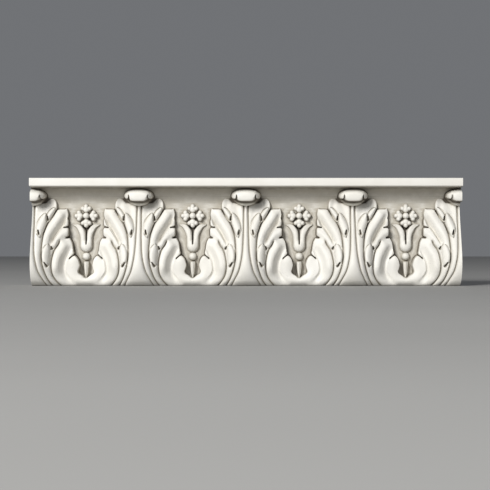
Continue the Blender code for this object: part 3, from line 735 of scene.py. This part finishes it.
def run_along(sheet):
    """Mirror the half sheet about the midrib and repeat it along the length."""
    half = sheet.verts[:] + sheet.edges[:] + sheet.faces[:]
    first_verts = sheet.verts[:]
    for number in range(2 * REPEATS):
        copy = bmesh.ops.duplicate(sheet, geom=half)["geom"]
        start = number * HALF - LENGTH / 2
        for vert in (item for item in copy if isinstance(item, bmesh.types.BMVert)):
            vert.co.x = start + (vert.co.x if number % 2 == 0 else HALF - vert.co.x)
    bmesh.ops.delete(sheet, geom=first_verts)
    bmesh.ops.remove_doubles(sheet, verts=sheet.verts[:], dist=WELD)


def border(sheet, axis, plane):
    """The border's edges that lie in a plane."""
    on = [edge for edge in sheet.edges if edge.is_boundary]
    return [edge for edge in on if all(abs(vert.co[axis] - plane) < WELD for vert in edge.verts)]


def walk(edges):
    """The vertices of a chain of edges, in order from its left or lower end."""
    left = set(edges)
    verts = [vert for edge in edges for vert in edge.verts]
    ends = [vert for vert in verts if sum(edge in left for edge in vert.link_edges) == 1]
    at = min(ends, key=lambda vert: (vert.co.x, vert.co.z))
    path = [at]
    while left:
        edge = next(edge for edge in at.link_edges if edge in left)
        left.remove(edge)
        at = edge.other_vert(at)
        path.append(at)
    return path


def raise_edges(sheet, edges, offset):
    """Extrude a chain of edges by an offset."""
    grown = bmesh.ops.extrude_edge_only(sheet, edges=edges)["geom"]
    for vert in (item for item in grown if isinstance(item, bmesh.types.BMVert)):
        vert.co += Vector(offset)
    return [item for item in grown if isinstance(item, bmesh.types.BMEdge)]


def fillet_outline():
    """The fillet's section from the cove up to its top, as (depth, height), with rounded edges."""
    turns = np.linspace(0, math.pi / 2, FILLET_STEPS + 1)
    bends = [(1 - math.sin(turn), 1 - math.cos(turn)) for turn in turns]
    bends = [(FILLET_ROUND * y, FILLET_ROUND * z) for y, z in bends]
    rise = [(y, LEAF_HEIGHT + z) for y, z in bends]
    return rise + [(y, HEIGHT - z) for y, z in reversed(bends)]


def nearest_corner(place):
    """The corner of the back behind the end of a border."""
    return (math.copysign(LENGTH / 2, place.x), 0 if place.z < HEIGHT / 2 else HEIGHT)


def close_casting(sheet):
    """Raise the fillet from the top of the cove, then add the flat underside, top, ends and back."""
    lip = border(sheet, 2, LEAF_HEIGHT)
    at = (FILLET_LIP, LEAF_HEIGHT)
    for y, z in fillet_outline():
        lip = raise_edges(sheet, lip, (0, y - at[0], z - at[1]))
        at = (y, z)
    corners = {}
    for x in (-LENGTH / 2, LENGTH / 2):
        for z in (0, HEIGHT):
            corners[(x, z)] = sheet.verts.new((x, DEPTH, z))
    chains = [walk(border(sheet, 2, z)) for z in (0, HEIGHT)]
    chains += [walk(border(sheet, 0, x)) for x in (-LENGTH / 2, LENGTH / 2)]
    for path in chains:
        ends = [corners[nearest_corner(vert.co)] for vert in (path[-1], path[0])]
        sheet.faces.new(path + ends).material_index = BACK_SLOT
    low_left, high_left, low_right, high_right = corners.values()
    sheet.faces.new((low_left, high_left, high_right, low_right)).material_index = BACK_SLOT
    bmesh.ops.recalc_face_normals(sheet, faces=sheet.faces[:])


class Nodes:
    """A small helper that adds and joins shader nodes in one material."""

    def __init__(self, name):
        self.material = bpy.data.materials.new(name)
        self.material.use_nodes = True
        self.tree = self.material.node_tree
        self.shader = self.tree.nodes["Principled BSDF"]
        self.place = self.add("ShaderNodeTexCoord").outputs["Object"]

    def add(self, kind, **settings):
        """A new node with these settings."""
        node = self.tree.nodes.new(kind)
        for name, value in settings.items():
            setattr(node, name, value)
        return node

    def fill(self, socket, value):
        """Join a socket to another, or give it a value."""
        if isinstance(value, bpy.types.NodeSocket):
            self.tree.links.new(value, socket)
        else:
            socket.default_value = value

    def noise(self, scale, detail, rough=0.55, stretch=(1, 1, 1)):
        """Noise fixed to the object's own coordinates."""
        mapping = self.add("ShaderNodeMapping")
        self.fill(mapping.inputs["Vector"], self.place)
        mapping.inputs["Scale"].default_value = stretch
        node = self.add("ShaderNodeTexNoise")
        self.fill(node.inputs["Vector"], mapping.outputs["Vector"])
        node.inputs["Scale"].default_value = scale
        node.inputs["Detail"].default_value = detail
        node.inputs["Roughness"].default_value = rough
        return node.outputs["Fac"]

    def pits(self, scale, size):
        """Scattered round spots, 1 at their middles and 0 outside them."""
        cells = self.add("ShaderNodeTexVoronoi")
        self.fill(cells.inputs["Vector"], self.place)
        cells.inputs["Scale"].default_value = scale
        return self.span(cells.outputs["Distance"], 0.0, size, 1.0, 0.0)

    def span(self, value, low, high, to_low=0.0, to_high=1.0):
        """Ease a value from one range to another."""
        node = self.add("ShaderNodeMapRange", interpolation_type="SMOOTHSTEP")
        for socket, number in zip(node.inputs, (value, low, high, to_low, to_high)):
            self.fill(socket, number)
        return node.outputs["Result"]

    def math(self, operation, first, second):
        """The sum, difference or product of two values."""
        node = self.add("ShaderNodeMath", operation=operation)
        self.fill(node.inputs[0], first)
        self.fill(node.inputs[1], second)
        return node.outputs["Value"]

    def mix(self, share, first, second):
        """A colour between two colours."""
        node = self.add("ShaderNodeMix", data_type="RGBA")
        self.fill(node.inputs["Factor"], share)
        sockets = [socket for socket in node.inputs if socket.type == "RGBA"]
        self.fill(sockets[0], first)
        self.fill(sockets[1], second)
        return next(socket for socket in node.outputs if socket.type == "RGBA")

    def bump(self, height, distance, strength, normal=None):
        """A surface normal bent by a height, on top of an earlier normal."""
        node = self.add("ShaderNodeBump")
        self.fill(node.inputs["Height"], height)
        node.inputs["Distance"].default_value = distance
        node.inputs["Strength"].default_value = strength
        if normal is not None:
            self.fill(node.inputs["Normal"], normal)
        return node.outputs["Normal"]


def plaster_face():
    """Warm white plaster: cloudy body, fine grain, small pinholes and painted shade in the recesses
    and pits.
    """
    nodes = Nodes("plaster_face")
    # The painted shade from the casting, with more towards the field
    painted_shade = nodes.add("ShaderNodeAttribute", attribute_name="painted_shade").outputs["Fac"]
    clouds = nodes.span(nodes.noise(*CLOUD_NOISE), *CLOUD_SPAN)
    body = nodes.mix(clouds, CREAM, WHITE)
    apart = nodes.add("ShaderNodeSeparateXYZ")
    nodes.fill(apart.inputs["Vector"], nodes.place)
    # More painted shade the deeper the face lies towards the field
    sunk_span = (SUNK_FROM - DEPTH / 2, FIELD - DEPTH / 2, 0.0, SUNK_SHARE)
    shade_share = nodes.math("ADD", painted_shade, nodes.span(apart.outputs["Y"], *sunk_span))
    patches = nodes.span(nodes.noise(*PATCH_NOISE), *PATCH_SPAN)
    patchy = nodes.math("MULTIPLY", shade_share, patches)
    # Painted shade: grey beige, then dark beige where it is deepest
    shaded_colour = nodes.mix(nodes.span(patchy, *SHADE_SPAN), body, GREY_BEIGE)
    shaded_colour = nodes.mix(nodes.span(patchy, *DARK_SPAN), shaded_colour, DARK_BEIGE)
    holed = nodes.span(nodes.noise(*PINHOLE_NOISE), *PINHOLE_SPAN)
    # Pinholes darkened with painted shade
    pinholes = nodes.math("MULTIPLY", nodes.pits(*PINHOLES), holed)
    nodes.fill(nodes.shader.inputs["Base Color"], nodes.mix(pinholes, shaded_colour, DARK_BEIGE))
    matt = nodes.span(nodes.noise(*FACE_MATT_NOISE), *FACE_MATT_SPAN)
    nodes.fill(nodes.shader.inputs["Roughness"], matt)
    nodes.shader.inputs["Specular IOR Level"].default_value = FACE_SPECULAR
    normal = None
    for noise, height, strength in FACE_GRAINS:
        normal = nodes.bump(nodes.noise(*noise), height, strength, normal)
    normal = nodes.bump(nodes.math("SUBTRACT", 1.0, pinholes), *PINHOLE_BUMP, normal)
    nodes.fill(nodes.shader.inputs["Normal"], normal)
    return nodes.material


def plaster_back():
    """The plain sides: struck off flat on the bench, with drag marks, air holes darkened with
    painted shade and keying grain.
    """
    nodes = Nodes("plaster_back")
    drag = nodes.noise(*DRAG_NOISE)
    body = nodes.mix(nodes.span(drag, *DRAG_SPAN), GREY_WHITE, CREAM)
    holed = nodes.span(nodes.noise(*AIR_HOLE_NOISE), *AIR_HOLE_SPAN)
    holes = nodes.math("MULTIPLY", nodes.pits(*AIR_HOLES), holed)
    # The air holes' grey beige is painted shade in them
    nodes.fill(nodes.shader.inputs["Base Color"], nodes.mix(holes, body, GREY_BEIGE))
    nodes.fill(nodes.shader.inputs["Roughness"], nodes.span(drag, *DRAG_MATT_SPAN))
    nodes.shader.inputs["Specular IOR Level"].default_value = BACK_SPECULAR
    noise, height, strength = BACK_GRAIN
    normal = nodes.bump(drag, *DRAG_BUMP)
    normal = nodes.bump(nodes.noise(*noise), height, strength, normal)
    normal = nodes.bump(nodes.math("SUBTRACT", 1.0, holes), *AIR_HOLE_BUMP, normal)
    nodes.fill(nodes.shader.inputs["Normal"], normal)
    return nodes.material


def build_casting():
    """The whole casting, standing on its underside with its length centred."""
    u, z, depth = fine_grid()
    sheet = bmesh.new()
    sheet.from_mesh(half_sheet(u, z, depth))
    snap_border(sheet)
    run_along(sheet)
    close_casting(sheet)
    mesh = bpy.data.meshes.new("moulding_casting")
    sheet.to_mesh(mesh)
    sheet.free()
    places = np.empty(3 * len(mesh.vertices))
    mesh.vertices.foreach_get("co", places)
    places = places.reshape(-1, 3)
    # The painted shade goes onto the casting's vertices, none on the fillet
    painted_shade = sampled(painted_shade_map(u, z, depth), places[:, 0], places[:, 2])
    painted_shade = np.where(places[:, 2] < LEAF_HEIGHT - WELD, painted_shade, 0)
    layer = mesh.attributes.new("painted_shade", "FLOAT", "POINT")
    layer.data.foreach_set("value", painted_shade.astype(np.float32))
    places[:, 1] -= DEPTH / 2
    mesh.vertices.foreach_set("co", places.ravel())
    mesh.shade_smooth()
    mesh.set_sharp_from_angle(angle=SMOOTH_ANGLE)
    mesh.materials.append(plaster_face())
    mesh.materials.append(plaster_back())
    casting = bpy.data.objects.new("moulding_casting", mesh)
    bpy.context.collection.objects.link(casting)
    return casting


def floor_plane():
    """A plain pale floor under the moulding."""
    nodes = Nodes("pale_floor")
    tone = nodes.span(nodes.noise(*FLOOR_NOISE), *FLOOR_SPAN)
    nodes.fill(nodes.shader.inputs["Base Color"], nodes.mix(tone, FLOOR_DARK, FLOOR_PALE))
    nodes.shader.inputs["Roughness"].default_value = FLOOR_MATT
    nodes.shader.inputs["Specular IOR Level"].default_value = FLOOR_SPECULAR
    corners = [(-FLOOR_HALF, -FLOOR_HALF, 0), (FLOOR_HALF, -FLOOR_HALF, 0),
               (FLOOR_HALF, FLOOR_HALF, 0), (-FLOOR_HALF, FLOOR_HALF, 0)]
    mesh = bpy.data.meshes.new("floor")
    mesh.from_pydata(corners, [], [(0, 1, 2, 3)])
    mesh.materials.append(nodes.material)
    floor = bpy.data.objects.new("floor", mesh)
    bpy.context.collection.objects.link(floor)
    return floor


def softbox(name, place, size, power, color):
    """A square area light aimed at the middle of the moulding."""
    light = bpy.data.lights.new(name, "AREA")
    light.shape = "SQUARE"
    light.size = size
    light.energy = power
    light.color = color
    lamp = bpy.data.objects.new(name, light)
    lamp.location = place
    lamp.rotation_euler = (MIDDLE - lamp.location).to_track_quat("-Z", "Y").to_euler()
    bpy.context.collection.objects.link(lamp)


def light_and_camera():
    """Soft studio light from the front left, a pale surround, and the photograph's view."""
    softbox("key", *KEY)
    softbox("fill", *FILL)
    world = bpy.data.worlds.new("studio")
    world.use_nodes = True
    background = world.node_tree.nodes["Background"]
    background.inputs["Color"].default_value = WORLD_COLOR
    background.inputs["Strength"].default_value = WORLD_STRENGTH
    bpy.context.scene.world = world
    data = bpy.data.cameras.new("camera")
    data.sensor_width = CAMERA_SENSOR
    data.lens = CAMERA_LENS
    camera = bpy.data.objects.new("camera", data)
    camera.location = CAMERA_PLACE
    camera.rotation_euler = (math.pi / 2, 0, 0)
    bpy.context.collection.objects.link(camera)
    bpy.context.scene.camera = camera
    bpy.context.scene.view_settings.view_transform = "Standard"


light_and_camera()
casting = build_casting()
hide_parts("acanthus_moulding")
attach(casting, "root")
floor_plane()
